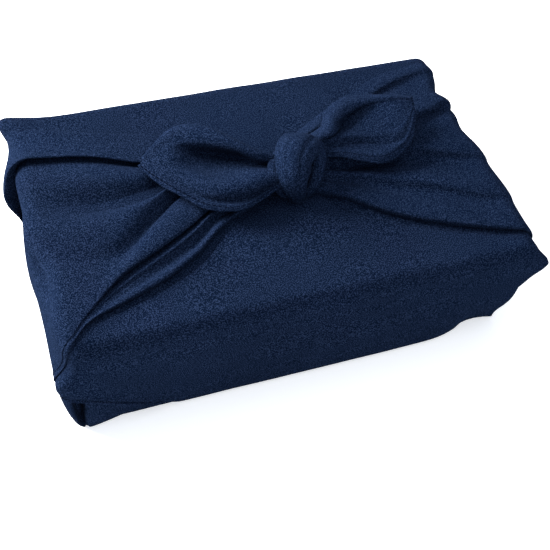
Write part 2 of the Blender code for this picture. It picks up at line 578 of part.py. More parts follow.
def cloth_material():
    material = bpy.data.materials.new("navy_crepe")
    material.use_nodes = True
    shader = material.node_tree.nodes["Principled BSDF"]
    shader.inputs["Base Color"].default_value = COLOUR
    shader.inputs["Roughness"].default_value = ROUGHNESS
    shader.inputs["Metallic"].default_value = 0.0
    return material


def joined(pieces):
    """Return one object that holds every piece as it is now, overlaps and all."""
    bpy.context.view_layer.update()
    graph = bpy.context.evaluated_depsgraph_get()
    shape = bmesh.new()
    for piece in pieces:
        mesh = bpy.data.meshes.new_from_object(piece.evaluated_get(graph))
        shape.from_mesh(mesh)
        bpy.data.meshes.remove(mesh)
        bpy.data.objects.remove(piece, do_unlink=True)
    mesh = bpy.data.meshes.new("cloth")
    shape.to_mesh(mesh)
    shape.free()
    made = bpy.data.objects.new("cloth", mesh)
    bpy.context.scene.collection.objects.link(made)
    return made


def apply_modifiers(piece):
    bpy.context.view_layer.update()
    mesh = bpy.data.meshes.new_from_object(piece.evaluated_get(bpy.context.evaluated_depsgraph_get()))
    piece.modifiers.clear()
    piece.data = mesh


def keep_outer_skin(piece):
    """Drop the small closed skins of any gap inside the cloth, so that it is filled."""
    shape = bmesh.new()
    shape.from_mesh(piece.data)
    left = set(shape.verts)
    skins = []
    while left:
        skin, ahead = set(), [left.pop()]
        while ahead:
            vertex = ahead.pop()
            skin.add(vertex)
            for edge in vertex.link_edges:
                other = edge.other_vert(vertex)
                if other in left:
                    left.discard(other)
                    ahead.append(other)
        skins.append(skin)
    outer = max(skins, key=len)
    bmesh.ops.delete(shape, geom=[v for v in shape.verts if v not in outer], context="VERTS")
    shape.to_mesh(piece.data)
    shape.free()


def flatten_foot(piece):
    """Press what lies within FLAT of the ground onto it."""
    for vertex in piece.data.vertices:
        if vertex.co.z < FLAT:
            vertex.co.z = 0.0


def melt(piece):
    """Turn the overlapping pieces into one closed skin, with most triangles at the folds."""
    skin = piece.modifiers.new("one_skin", "REMESH")
    skin.mode = "VOXEL"
    skin.voxel_size = VOXEL
    apply_modifiers(piece)
    keep_outer_skin(piece)
    flatten_foot(piece)
    thin = piece.modifiers.new("fewer_triangles", "DECIMATE")
    thin.ratio = TRIANGLES / (2 * len(piece.data.polygons))
    thin.use_collapse_triangulate = True
    apply_modifiers(piece)
    flatten_foot(piece)


def centre(piece):
    """Put the middle of the piece's box on the origin's Z axis."""
    xs, ys = ([vertex.co[axis] for vertex in piece.data.vertices] for axis in (0, 1))
    middle = Vector(((min(xs) + max(xs)) / 2, (min(ys) + max(ys)) / 2, 0))
    piece.data.transform(Matrix.Translation(-middle))


def main():
    clear_scene()
    pieces = [
        body(),
        wing("left_wing", LEFT_WING, -1),
        wing("left_band", LEFT_BAND, -1),
        wing("right_wing", RIGHT_WING, 1),
        leaf("left_ear", list(LEFT_EAR.values())),
        leaf("right_ear", list(RIGHT_EAR.values())),
        tuck(),
    ]
    pieces += [strand(name, rows) for name, rows in STRANDS.items()]
    cloth = joined(pieces)
    melt(cloth)
    centre(cloth)
    cloth.data.materials.append(cloth_material())


main()
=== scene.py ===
"""The furoshiki bundle's looks: one folded sheet of navy crepe, its hem stitches, floor and light.

Every layer of cloth is laid on a plain rounded box and settle() then moves it to where the cloth
really lies. X runs along the bundle, Y to its back and Z up, in metres.
"""

from math import cos, pi, radians, sin

import bmesh
import bpy
import numpy as np
from mathutils import Matrix, Vector, noise


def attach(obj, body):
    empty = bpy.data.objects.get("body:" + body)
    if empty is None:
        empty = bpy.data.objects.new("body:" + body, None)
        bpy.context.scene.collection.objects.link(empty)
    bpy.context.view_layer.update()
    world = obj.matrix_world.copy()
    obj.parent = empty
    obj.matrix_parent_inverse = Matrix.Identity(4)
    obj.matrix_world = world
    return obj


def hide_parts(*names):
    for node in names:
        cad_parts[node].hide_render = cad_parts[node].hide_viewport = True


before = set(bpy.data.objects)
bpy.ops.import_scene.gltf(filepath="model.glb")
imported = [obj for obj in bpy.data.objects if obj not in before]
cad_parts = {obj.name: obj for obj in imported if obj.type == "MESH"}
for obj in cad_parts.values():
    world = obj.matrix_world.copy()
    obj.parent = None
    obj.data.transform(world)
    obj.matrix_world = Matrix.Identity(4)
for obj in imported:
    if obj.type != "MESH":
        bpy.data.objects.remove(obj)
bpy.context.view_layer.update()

# ---------------------------------------------------------------- the bundle
MM = 0.001
LENGTH = 0.275  # of the plain box, without the knot and the corners that stick out
DEPTH = 0.173
HEIGHT = 0.080
ROUNDING = 0.008
FOOT_ROUNDING = 0.003  # at the ground
CENTRE = Vector((-0.0005, 0.0025, 0.0))  # of the plain box
MIDDLE = Vector((-0.0005, 0.0030, 0.0))  # of the whole bundle, which the frame is centred on
FOOT_INSET = 0.0003  # how far the foot is drawn in
WALL_BULGE = 0.0015  # how far the walls stand out halfway up
UNEVEN = 0.0004  # height of the cloth's own slight waviness
WAVES = 34.0  # and how close it is

# The wings' pleats, in millimetres: where each fold line lies in Y, and how far it lifts off the
# box, at ten places along the wing: three up the wall, on the rim, and in to the knot.
WALL_AT = (0.003, 0.040, 0.064)
TOP_AT = (0.120, 0.095, 0.070, 0.052, 0.038, 0.012)
LEFT_WING = (
    # fold line       wall            rim   120    95     70     52     38     neck
    ("under band",   (74, 66, 60, 54, 49.5, 43.5, 32.5, 27, 21, 13),
                     (-1.5, -1.5, -1.5, -1, -0.5, -0.5, -0.5, -0.5, 0, 0)),
    ("back rise",    (62, 52, 47, 44, 38, 32, 25, 23, 18.5, 12),
                     (1.5, 1.5, 1.5, 2, 3, 4.2, 4.8, 5, 5.4, 7)),
    ("back slope",   (50, 42, 36, 33, 26, 20.5, 18, 20, 17, 11),
                     (1.4, 1.4, 1.6, 2.4, 4.8, 5.6, 4.8, 4.6, 4.8, 6.8)),
    ("broad trough", (40, 32, 25, 21, 12, 6.5, 9.5, 15, 14.5, 10),
                     (1, 1, 1, 1.2, 0, -0.8, -1.8, -1.2, 0.4, 6)),
    ("broad rise",   (14, 8, 4, 2, -4, -5, 1.5, 10.5, 12, 9),
                     (2, 2.5, 3, 3, 4.6, 5.6, 5.6, 5, 5, 8)),
    ("soft slope",   (-4, -6, -8, -9, -16, -20, -3, 7.5, 8.5, 7),
                     (1.6, 2.2, 2.8, 2.6, 4, 5, 5, 4.6, 4.8, 7.6)),
    ("soft trough",  (-18, -19, -20, -21, -27, -29, -10, 3, 5, 5),
                     (1, 1.5, 2, 1.6, 1.4, 1.6, 0.4, -0.2, 1.2, 6.5)),
    ("trough wall",  (-22, -24, -25, -26, -36, -36, -14, 0, 2.5, 3),
                     (1.2, 1.6, 2.1, 1.8, 1.9, 2.9, 3.4, 3.6, 4, 7.5)),
    ("main rise",    (-46, -52, -57, -62, -58, -41, -22, -10, -4, -1),
                     (2, 2, 2.4, 2, 2.6, 4.6, 6, 6, 6, 9)),
    ("main lip",     (-62.6, -68.8, -74.2, -76.1, -64.5, -44.5, -31.5, -21, -12, -4),
                     (1.4, 1.6, 1.8, 2, 2.4, 4.2, 5, 5, 5, 7)),
    ("long crease",  (-62, -68, -73.5, -75.5, -64, -43, -29.5, -19, -10, -3),
                     (1.2, 1.4, 1.5, 1.8, 1.5, 0.2, 0.2, 0.3, 1, 4)),
    ("upper rib",    (-64, -70, -75, -76.9, -65.7, -48.5, -36, -25.6, -15.4, -6),
                     (1.1, 1.3, 1.4, 1.7, 1.6, 2.2, 3.2, 3.8, 4.2, 6)),
    ("rib groove",   (-64.6, -70.6, -75.4, -77.3, -66.2, -50.5, -38, -27.4, -17.2, -7),
                     (1, 1.2, 1.3, 1.6, 1.5, 1.3, 1.6, 2, 2.4, 5)),
    ("hollow",       (-65.4, -71.4, -76, -77.8, -66.8, -54, -42, -32, -20, -8.5),
                     (1, 1.1, 1.2, 1.6, 1.5, 1.3, 0.4, 0.2, 0.8, 4)),
    ("lower rib",    (-66.6, -72.4, -76.8, -78.6, -67.6, -57.6, -47.5, -37, -25, -11),
                     (0.9, 1, 1, 1.6, 1.8, 3, 3.8, 3.8, 3.6, 5)),
    ("front lip",    (-67.6, -73.2, -77.4, -79.4, -68.6, -59.8, -50.3, -39.5, -27.2, -13),
                     (0.8, 0.8, 0.8, 1.2, 1.8, 2.4, 2.8, 2.8, 2.8, 4)),
    ("front edge",   (-66.6, -72.2, -76.4, -78.6, -67.2, -57.8, -47.8, -37, -25.2, -12),
                     (-1.2, -1.2, -1.2, -1.2, -2, -3, -3.4, -3.4, -3, -2)),
)
LEFT_BAND = (
    ("back edge",    (80, 80, 80, 80, 74, 66, 58.5, 54, 47, 22),
                     (-1, -1, -1, -1, -1, -1, -1, -1, -1, -1)),
    ("crest",        (74, 73, 73, 75, 71.5, 63.5, 56, 51, 44, 20),
                     (2, 2, 1, 0.5, 1.8, 1.8, 1.8, 2, 3, 6)),
    ("slope",        (60, 58, 58, 61, 58, 51, 41, 34, 28, 15),
                     (1, 3, 7.5, 1.8, 3.2, 4.2, 4.6, 5, 5.5, 7)),
    ("lower lip",    (50, 42, 41, 48, 46.8, 41, 30.5, 25.5, 20, 12),
                     (0.5, 3.5, 9.5, 6, 4.8, 5.4, 5.4, 5, 5.5, 6.5)),
    ("lower edge",   (54, 46, 46, 52, 50.5, 44.5, 34, 29, 23.5, 15),
                     (0.5, 0.5, 0.5, 0.8, 0.8, 0.8, 0.8, 1, 1.5, 2)),
)
RIGHT_WING = (
    ("back edge",    (82, 82, 82, 82, 80, 75, 63, 54, 45, 25),
                     (-0.5, -0.5, -0.5, -0.5, -0.5, -0.5, -0.6, -1, -1, -1)),
    ("back rise",    (74, 74, 74, 73, 70, 61.5, 48, 40, 33, 17),
                     (1.2, 1.2, 1.5, 1.5, 2.2, 2.8, 3.2, 3.8, 5, 7)),
    ("back trough",  (68, 68, 67.5, 67, 65, 57.5, 44.5, 36, 29, 15),
                     (0.6, 0.6, 0.6, 0.8, 0.4, 0.3, 0.5, 1.2, 2.5, 6)),
    ("back flat",    (56, 55, 54, 53, 52, 46, 37, 29, 23, 13),
                     (1.4, 1.6, 2, 2, 2.4, 2.8, 3.2, 4, 5, 8)),
    ("upper rise",   (44, 43, 42, 41, 35, 29.5, 22.5, 17, 14, 10),
                     (1.6, 2, 3, 3.8, 4.8, 5.2, 5.6, 6, 7, 9)),
    ("upper trough", (38, 37.5, 37, 36, 31.5, 25.5, 18, 13, 11, 9),
                     (0.8, 0.8, 0.6, 0.3, -0.3, -0.3, 0.2, 1.6, 3, 7)),
    ("middle flat",  (28, 28, 27, 26, 22, 17, 11.5, 8.5, 8, 7.5),
                     (1.4, 1.4, 1.4, 1.4, 1.6, 2, 2.8, 4, 6, 8.5)),
    ("middle rise",  (4, 0, -3, -5, -3, 3, 4.5, 4, 5, 6),
                     (1.6, 2, 2.2, 2.4, 4.4, 5.6, 5.6, 5.4, 6.5, 9)),
    ("middle trough", (-6, -9, -12, -14, -11, -3, 0, 0, 1, 3),
                     (0.8, 0.8, 1.1, 1.2, 0.5, 0, 0.2, 0.6, 2, 6)),
    ("lower rise",   (-30, -33, -36, -38, -36, -24, -14.5, -7.5, -3.5, 1),
                     (1.4, 1.6, 1.8, 2, 3.8, 5, 4.8, 4.4, 5.2, 9)),
    ("lower trough", (-41, -42, -44, -46, -43.5, -31, -21, -12.5, -8, -1),
                     (1, 1, 1.1, 1.2, 1.1, 0.8, 0.6, 0.8, 1.6, 6)),
    ("front rise",   (-56, -58, -59, -60, -57, -47, -34, -22, -14, -4),
                     (1.2, 1.4, 1.8, 2, 2.8, 3.8, 4.6, 4.4, 5, 8)),
    ("front lip",    (-66, -67, -68, -69, -65.5, -56.5, -45, -33, -22, -10),
                     (0.8, 1, 1.4, 2.2, 3.4, 4.2, 4.8, 5, 5, 5.8)),
    ("front edge",   (-64, -65, -66, -67, -63.5, -54, -42.5, -30.5, -19.5, -9),
                     (-1.2, -1.2, -1.2, -1.5, -2.4, -3, -3.4, -3.4, -3.2, -2)),
)

# The flap's side edges on the front wall, each from its top to its foot: X and height.
FLAP_LEFT = ((-0.130, 0.0365), (-0.0733, 0.001))
FLAP_RIGHT = ((0.124, 0.036), (0.104, 0.002))
FLAP_TOP = 0.044  # above this the flap also rounds the corners
LAYER = 0.0016  # how far the inner layer lies inside the outer one

# The strands that the knot shows: places along the middle of each one, and its half width and
# half thickness there.
STRANDS = {
    "wrap": (
        # x      y       z      wide   thick
        (0.0128, -0.0130, 0.0780, 0.0045, 0.0040),
        (0.0105, -0.0154, 0.0880, 0.0060, 0.0050),
        (0.0089, -0.0144, 0.0950, 0.0080, 0.0060),
        (0.0094, -0.0093, 0.0985, 0.0095, 0.0070),
        (0.0118, -0.0024, 0.1005, 0.0110, 0.0070),
        (0.0165, 0.0048, 0.1005, 0.0125, 0.0070),
        (0.0234, 0.0129, 0.0960, 0.0130, 0.0060),
        (0.0292, 0.0180, 0.0870, 0.0100, 0.0050),
    ),
    "lobe": (
        (0.0163, -0.0119, 0.0780, 0.0025, 0.0025),
        (0.0185, -0.0140, 0.0850, 0.0030, 0.0035),
        (0.0225, -0.0121, 0.0905, 0.0036, 0.0040),
        (0.0260, -0.0060, 0.0940, 0.0044, 0.0045),
        (0.0275, 0.0003, 0.0970, 0.0055, 0.0050),
        (0.0280, 0.0070, 0.0975, 0.0060, 0.0050),
        (0.0291, 0.0139, 0.0920, 0.0060, 0.0050),
    ),
    "collar": (
        (0.0091, -0.0110, 0.0790, 0.0020, 0.0020),
        (0.0038, -0.0124, 0.0860, 0.0030, 0.0030),
        (0.0006, -0.0097, 0.0920, 0.0036, 0.0036),
        (-0.0004, -0.0053, 0.0960, 0.0036, 0.0036),
        (0.0019, 0.0013, 0.0975, 0.0034, 0.0034),
        (0.0069, 0.0075, 0.0960, 0.0030, 0.0030),
        (0.0119, 0.0101, 0.0900, 0.0030, 0.0030),
    ),
    "core": (
        (-0.0040, -0.0040, 0.087, 0.005, 0.004),
        (0.0020, -0.0030, 0.090, 0.008, 0.007),
        (0.0110, -0.0020, 0.091, 0.011, 0.008),
        (0.0210, 0.0010, 0.091, 0.010, 0.007),
        (0.0290, 0.0040, 0.090, 0.007, 0.005),
        (0.0350, 0.0060, 0.088, 0.004, 0.003),
    ),
}

# Creases along the strands: the angle round the strand in degrees, the depth as a share of the
# strand's size, and the width in degrees.
CREASES = {
    "wrap": ((58, 0.12, 7), (108, 0.08, 6), (138, 0.12, 7)),
    "lobe": ((60, 0.12, 12),),
}

# The ears: their fold lines from the front hem to the back one, each through seven places from the
# knot to the tip.
LEFT_EAR = {
    "hem": (
        (0.003, -0.014, 0.095), (-0.012, -0.020, 0.092), (-0.025, -0.023, 0.0905),
        (-0.042, -0.017, 0.0895), (-0.053, -0.005, 0.0895), (-0.064, 0.008, 0.0895),
        (-0.072, 0.024, 0.0895),
    ),
    "lip": (
        (0.003, -0.013, 0.096), (-0.011, -0.018, 0.0935), (-0.024, -0.021, 0.0922),
        (-0.040, -0.015, 0.0916), (-0.051, -0.004, 0.0914), (-0.062, 0.010, 0.091),
        (-0.071, 0.024, 0.09),
    ),
    "dark foot": (
        (0.004, -0.011, 0.0955), (-0.010, -0.014, 0.0925), (-0.023, -0.016, 0.0912),
        (-0.039, -0.012, 0.0912), (-0.050, -0.002, 0.0913), (-0.061, 0.011, 0.0913),
        (-0.071, 0.024, 0.09),
    ),
    "fold front": (
        (0.004, -0.010, 0.097), (-0.011, -0.014, 0.0983), (-0.024, -0.015, 0.0973),
        (-0.037, -0.011, 0.0955), (-0.049, -0.000, 0.0934), (-0.060, 0.012, 0.0922),
        (-0.071, 0.024, 0.0902),
    ),
    "belly": (
        (0.005, -0.008, 0.098), (-0.010, -0.009, 0.0995), (-0.022, -0.009, 0.099),
        (-0.035, -0.004, 0.0975), (-0.046, 0.006, 0.0952), (-0.058, 0.015, 0.0934),
        (-0.070, 0.024, 0.0904),
    ),
    "lap": (
        (0.006, -0.005, 0.097), (-0.008, -0.002, 0.097), (-0.018, 0.004, 0.0925),
        (-0.029, 0.009, 0.0902), (-0.040, 0.014, 0.0914), (-0.054, 0.018, 0.0952),
        (-0.070, 0.025, 0.0906),
    ),
    "slit": (
        (0.008, 0.000, 0.094), (-0.006, 0.005, 0.092), (-0.016, 0.015, 0.0894),
        (-0.025, 0.022, 0.0886), (-0.036, 0.025, 0.0898), (-0.051, 0.023, 0.0962),
        (-0.069, 0.025, 0.0908),
    ),
    "under brow": (
        (0.008, 0.001, 0.095), (-0.006, 0.005, 0.0956), (-0.015, 0.015, 0.0943),
        (-0.025, 0.021, 0.094), (-0.035, 0.024, 0.0946), (-0.051, 0.026, 0.097),
        (-0.069, 0.025, 0.091),
    ),
    "brow": (
        (0.007, -0.000, 0.098), (-0.007, 0.003, 0.101), (-0.017, 0.010, 0.1026),
        (-0.026, 0.016, 0.1026), (-0.035, 0.022, 0.1014), (-0.050, 0.029, 0.098),
        (-0.069, 0.025, 0.0911),
    ),
    "crest": (
        (0.007, 0.001, 0.1), (-0.007, 0.007, 0.1035), (-0.017, 0.015, 0.1055),
        (-0.027, 0.026, 0.1055), (-0.037, 0.034, 0.1035), (-0.050, 0.037, 0.0992),
        (-0.069, 0.027, 0.0911),
    ),
    "back": (
        (0.007, 0.006, 0.095), (-0.005, 0.017, 0.094), (-0.014, 0.027, 0.094),
        (-0.024, 0.038, 0.093), (-0.035, 0.046, 0.092), (-0.049, 0.046, 0.091),
        (-0.069, 0.029, 0.0895),
    ),
}
RIGHT_EAR = {
    "hem": (
        (0.021, 0.004, 0.092), (0.041, 0.001, 0.092), (0.054, -0.005, 0.0915),
        (0.065, -0.009, 0.091), (0.077, -0.006, 0.091), (0.090, 0.004, 0.092),
        (0.100, 0.023, 0.094),
    ),
    "strip": (
        (0.021, 0.006, 0.093), (0.043, 0.003, 0.094), (0.055, -0.001, 0.0938),
        (0.065, -0.005, 0.0935), (0.076, -0.002, 0.0932), (0.088, 0.006, 0.0932),
        (0.100, 0.024, 0.0944),
    ),
    "groove": (
        (0.023, 0.010, 0.0935), (0.046, 0.009, 0.0925), (0.058, 0.007, 0.0919),
        (0.067, 0.004, 0.0918), (0.076, 0.003, 0.0921), (0.086, 0.007, 0.0930),
        (0.100, 0.026, 0.0947),
    ),
    "under edge": (
        (0.023, 0.0105, 0.0945), (0.046, 0.0105, 0.094), (0.058, 0.009, 0.0934),
        (0.067, 0.007, 0.0932), (0.075, 0.006, 0.0932), (0.085, 0.0085, 0.0938),
        (0.100, 0.027, 0.0948),
    ),
    "edge": (
        (0.024, 0.011, 0.0957), (0.045, 0.012, 0.0962), (0.057, 0.0115, 0.0956),
        (0.066, 0.0105, 0.095), (0.075, 0.010, 0.0945), (0.085, 0.011, 0.0944),
        (0.101, 0.029, 0.095),
    ),
    "dish front": (
        (0.024, 0.0125, 0.0961), (0.047, 0.015, 0.0956), (0.059, 0.0155, 0.0947),
        (0.069, 0.0155, 0.0942), (0.078, 0.015, 0.094), (0.086, 0.0155, 0.0942),
        (0.101, 0.030, 0.0952),
    ),
    "dish": (
        (0.026, 0.011, 0.096), (0.050, 0.019, 0.0935), (0.061, 0.022, 0.093),
        (0.070, 0.025, 0.0935), (0.079, 0.025, 0.0941), (0.088, 0.024, 0.095),
        (0.101, 0.030, 0.0955),
    ),
    "slit": (
        (0.028, 0.011, 0.0955), (0.049, 0.022, 0.0910), (0.056, 0.031, 0.0912),
        (0.065, 0.035, 0.0928), (0.076, 0.034, 0.0950), (0.088, 0.032, 0.0962),
        (0.101, 0.031, 0.096),
    ),
    "brow": (
        (0.026, 0.010, 0.0975), (0.042, 0.013, 0.0987), (0.048, 0.022, 0.0988),
        (0.059, 0.030, 0.0974), (0.074, 0.035, 0.0967), (0.088, 0.034, 0.097),
        (0.101, 0.032, 0.0963),
    ),
    "roll": (
        (0.025, 0.012, 0.098), (0.039, 0.017, 0.0998), (0.046, 0.027, 0.1),
        (0.058, 0.036, 0.0985), (0.075, 0.038, 0.0971), (0.088, 0.036, 0.0978),
        (0.101, 0.032, 0.097),
    ),
    "back": (
        (0.026, 0.020, 0.092), (0.038, 0.024, 0.095), (0.045, 0.036, 0.0945),
        (0.059, 0.045, 0.0938), (0.077, 0.044, 0.094), (0.091, 0.040, 0.095),
        (0.102, 0.035, 0.0955),
    ),
}

# The front left corner under the flap: folds that stand side by side, from the left wall round to
# the front one, each at seven heights, with a deep pocket between the corner and the front panel.
TUCK_AT = (0.046, 0.036, 0.025, 0.014, 0.006, 0.002, 0.000)
TUCK = (
    # fold         X, and below it Y, in millimetres
    ("wall",       (-136.5, -137, -137, -136.5, -135.5, -134.5, -134),
                   (-52, -52, -52, -52, -52, -52, -52)),
    ("side",       (-138.4, -139.4, -138.9, -137.9, -136.8, -135.8, -135.2),
                   (-71, -72, -72, -72, -73, -74, -75)),
    ("corner",     (-138.8, -139.4, -138.8, -137.5, -135.8, -134.4, -133.7),
                   (-79, -80, -80, -80, -80.4, -80.6, -80.2)),
    ("edge",       (-135.4, -135.3, -135, -134.4, -133.2, -131.8, -131.2),
                   (-84.4, -85.6, -86, -85.8, -84.8, -84, -83.3)),
    ("inside",     (-134, -134.4, -134.4, -134, -132.8, -131.2, -130.7),
                   (-80, -80, -80, -80, -81.4, -82.6, -82.8)),
    ("pocket",     (-130.8, -131, -131, -131, -131, -130, -129.8),
                   (-71, -71, -71, -72, -77.6, -81.8, -82.6)),
    ("panel side", (-127, -127, -127.6, -128.8, -129.3, -128.9, -128.6),
                   (-80, -80, -80, -80.4, -82.2, -83.5, -83.3)),
    ("panel edge", (-126.8, -126.8, -127.2, -128.2, -128.2, -127.5, -127.1),
                   (-83.6, -84.6, -85, -85, -84.9, -84.6, -84.2)),
    ("panel",      (-118, -118, -118, -118, -118, -118, -118),
                   (-83.4, -84.2, -84.6, -84.8, -84.5, -83.6, -82.9)),
    ("panel end",  (-98, -98, -98, -98, -98, -98, -98),
                   (-80, -80, -80, -80, -80, -79.6, -79)),
)

# Where the bundle's corners and rims are pushed out or in: the middle of each push, how far it
# reaches, and how far it moves the cloth there.
PUSHES = (
    # name                x       y       z      reach x reach y reach z  by x    by y    by z
    ("back left tip",    -0.138,  0.088, 0.078,  0.016,  0.012,  0.014, -0.0080, 0.005,  0.001),
    ("front left rim",   -0.138, -0.084, 0.070,  0.020,  0.022,  0.022,  0.0075, 0.000,  0.000),
    ("left rim pull",    -0.138, -0.050, 0.072,  0.020,  0.014,  0.020,  0.0030, 0.000,  0.000),
    ("front left tip",   -0.138, -0.083, 0.048,  0.014,  0.012,  0.007, -0.0045, -0.001, 0.000),
    ("front right fin",   0.137, -0.083, 0.062,  0.012,  0.014,  0.009,  0.0095, 0.000,  0.000),
    ("fin tip",           0.137, -0.084, 0.061,  0.012,  0.007,  0.004,  0.0025, 0.000,  0.000),
    ("front right foot",  0.122, -0.083, 0.002,  0.022,  0.022,  0.020, -0.0030, 0.0074, 0.000),
    ("right rim back",    0.136,  0.051, 0.074,  0.020,  0.012,  0.020, -0.0075, 0.000,  0.000),
    ("right rim middle",  0.136,  0.018, 0.074,  0.020,  0.013,  0.020, -0.0045, 0.000,  0.000),
    ("right rim front",   0.136, -0.040, 0.074,  0.020,  0.018,  0.020,  0.0015, 0.000,  0.000),
    ("left rim dent",    -0.138, -0.030, 0.080,  0.016,  0.018,  0.014,  0.006,  0.000, -0.001),
    ("left wall pouch",  -0.138, -0.008, 0.044,  0.020,  0.016,  0.020, -0.002,  0.000,  0.000),
)

# Soft folds and dents in one sheet: how wide, and X, Y, Z and height of each place that they run
# through.
FOLDS = (
    # sheet            width   places
    ("inner_layer",    0.0075, ((-0.133, -0.084, 0.040, -0.0090), (-0.132, -0.084, 0.020, -0.0090),
                                (-0.130, -0.083, 0.003, -0.0070))),
    ("outer_layer",    0.0040, ((-0.136, -0.085, 0.044, 0.0010), (-0.112, -0.085, 0.026, 0.0012),
                                (-0.090, -0.085, 0.012, 0.0008))),
    ("outer_layer",    0.0040, ((-0.138, 0.084, 0.080, 0.0015), (-0.125, 0.074, 0.080, 0.0012),
                                (-0.112, 0.068, 0.080, 0.0000))),
    ("left_wing",      0.0040, ((-0.137, -0.010, 0.074, -0.0008), (-0.138, -0.022, 0.070, -0.0045),
                                (-0.138, -0.034, 0.070, -0.0045), (-0.138, -0.050, 0.074, -0.0008))),
    ("left_wing",      0.0020, ((-0.062, 0.013, 0.084, -0.0016), (-0.069, 0.011, 0.083, -0.0012),
                                (-0.079, 0.013, 0.082, -0.0005))),
    ("left_band",      0.0018, ((-0.126, 0.072, 0.082, 0.0006), (-0.110, 0.067, 0.082, 0.0007),
                                (-0.093, 0.062, 0.082, 0.0007), (-0.070, 0.055, 0.082, 0.0007),
                                (-0.056, 0.051, 0.082, 0.0006))),
    ("outer_layer",    0.0020, ((-0.035, -0.023, 0.080, -0.0020), (-0.046, -0.036, 0.080, -0.0028),
                                (-0.059, -0.046, 0.080, -0.0028), (-0.074, -0.052, 0.080, -0.0028),
                                (-0.092, -0.059, 0.080, -0.0024), (-0.105, -0.062, 0.080, -0.0020),
                                (-0.120, -0.066, 0.080, -0.0012))),
    ("outer_layer",    0.0020, ((0.031, -0.016, 0.080, -0.0026), (0.038, -0.025, 0.080, -0.0032),
                                (0.050, -0.034, 0.080, -0.0032), (0.065, -0.043, 0.080, -0.0030),
                                (0.086, -0.053, 0.080, -0.0028), (0.107, -0.061, 0.080, -0.0024),
                                (0.130, -0.068, 0.079, -0.0016))),
    ("right_wing",     0.0018, ((0.090, 0.007, 0.084, 0.0004), (0.107, 0.004, 0.084, 0.0009),
                                (0.127, 0.001, 0.083, 0.0008))),
    ("right_wing",     0.0018, ((0.075, -0.010, 0.084, 0.0005), (0.088, -0.017, 0.084, 0.0008),
                                (0.104, -0.025, 0.083, 0.0008), (0.127, -0.036, 0.082, 0.0005))),
    ("right_wing",     0.0018, ((0.122, -0.010, 0.082, 0.0002), (0.126, -0.016, 0.082, 0.0008),
                                (0.132, -0.020, 0.081, 0.0003))),
    ("right_wing",     0.0022, ((0.030, -0.004, 0.088, -0.0020), (0.038, -0.006, 0.087, -0.0018),
                                (0.049, -0.009, 0.086, -0.0006))),
    ("right_wing",     0.0022, ((0.028, -0.010, 0.088, -0.0020), (0.035, -0.014, 0.087, -0.0018),
                                (0.043, -0.019, 0.086, -0.0004))),
)

# ---------------------------------------------------------------- how finely it is drawn
OUTER_CELLS = (156, 96, 24)  # along X, Y and Z
INNER_CELLS = (48, 30, 14)
EDGE_CELLS = 6  # round each edge of the box
FOLD_STEPS = 24
WING_CELLS = (120, 6)  # along the wing, and from one fold line to the next
STRAND_CELLS = (32, 56)  # along and round a strand
KNOT_DROP = 0.02  # a strand's flat side faces a point this far below its middle
EAR_CELLS = (48, 5)  # along an ear, and from one fold line to the next
HEM_THICK = 0.0007
HEM_ROLL = 0.0011  # the flap's rolled hem
FLAP_HEM_END = 0.012  # how far from its foot it turns under
FLAP_HEM_STEPS = 16
STITCH = (0.0024, 0.0008, 0.00034)  # the hem stitches: length, gap and half thickness
STITCH_END = 0.4  # a stitch's thickness at its ends, as a share of its middle's
STITCH_LINE = 0.8  # where they run, from the hem at 0 to the next fold at 1
SEAM = 0.0006  # how deep the stitches pull the cloth in

# ---------------------------------------------------------------- the crepe
GRAIN_SCALE = 1700.0  # pebbles to a metre
GRAIN = (
    # height in the grain, and its colour there, from pits to flecks
    (0.39, (0.0017, 0.0044, 0.0124, 1)),
    (0.50, (0.0033, 0.0069, 0.0184, 1)),
    (0.66, (0.0134, 0.0230, 0.0520, 1)),
)
GRAIN_BUMP = (0.35, 0.0004)  # strength and height
CREPE_ROUGHNESS = 0.75
SHEEN = (0.006, 0.45, (0.45, 0.62, 1.0, 1))  # weight, roughness and tint
TINT_SCALE = 22.0
TINT_FROM = (0.3, 0.7)  # the span of its noise that counts
TINT = (0.93, 1.07)  # the cloth's slow change from darker to lighter
THREAD_SCALE = 1600.0
THREAD = ((0.0010, 0.0022, 0.0070, 1), (0.0040, 0.0080, 0.0210, 1))
THREAD_BUMP = (0.35, 0.0004)
THREAD_ROUGHNESS = 0.7

# ---------------------------------------------------------------- stage and camera
FLOOR_REACH = 6.0
FLOOR_DROP = 0.0005  # keeps the cloth's underside clear of the floor
FLOOR_COLOUR = (0.90, 0.90, 0.90, 1)
FLOOR_ROUGHNESS = 0.9
FLOOR_GLOW = 0.45  # the floor's own light, which keeps it near white
SKY_COLOUR = (0.86, 0.97, 1.13, 1)
SKY_STRENGTH = 0.60
LIGHTS = (
    # name     place                 size  watts
    ("key",  (-0.95, 0.72, 0.66),  0.7,  70.0),
    ("top",  (0.00, 0.10, 1.60),   1.2,  8.0),
    ("fill", (0.30, -1.30, 0.90),  1.2,  6.0),
)
CAMERA_AT = Vector((-0.1217, -0.3080, 0.4517))
CAMERA_AZIMUTH = radians(-23.22)
CAMERA_ELEVATION = radians(54.28)
CAMERA_ROLL = radians(7.06)
FOCAL_PX = 850
FRAME_PX = 550
SENSOR_MM = 36.0
CLIP_START = 0.01


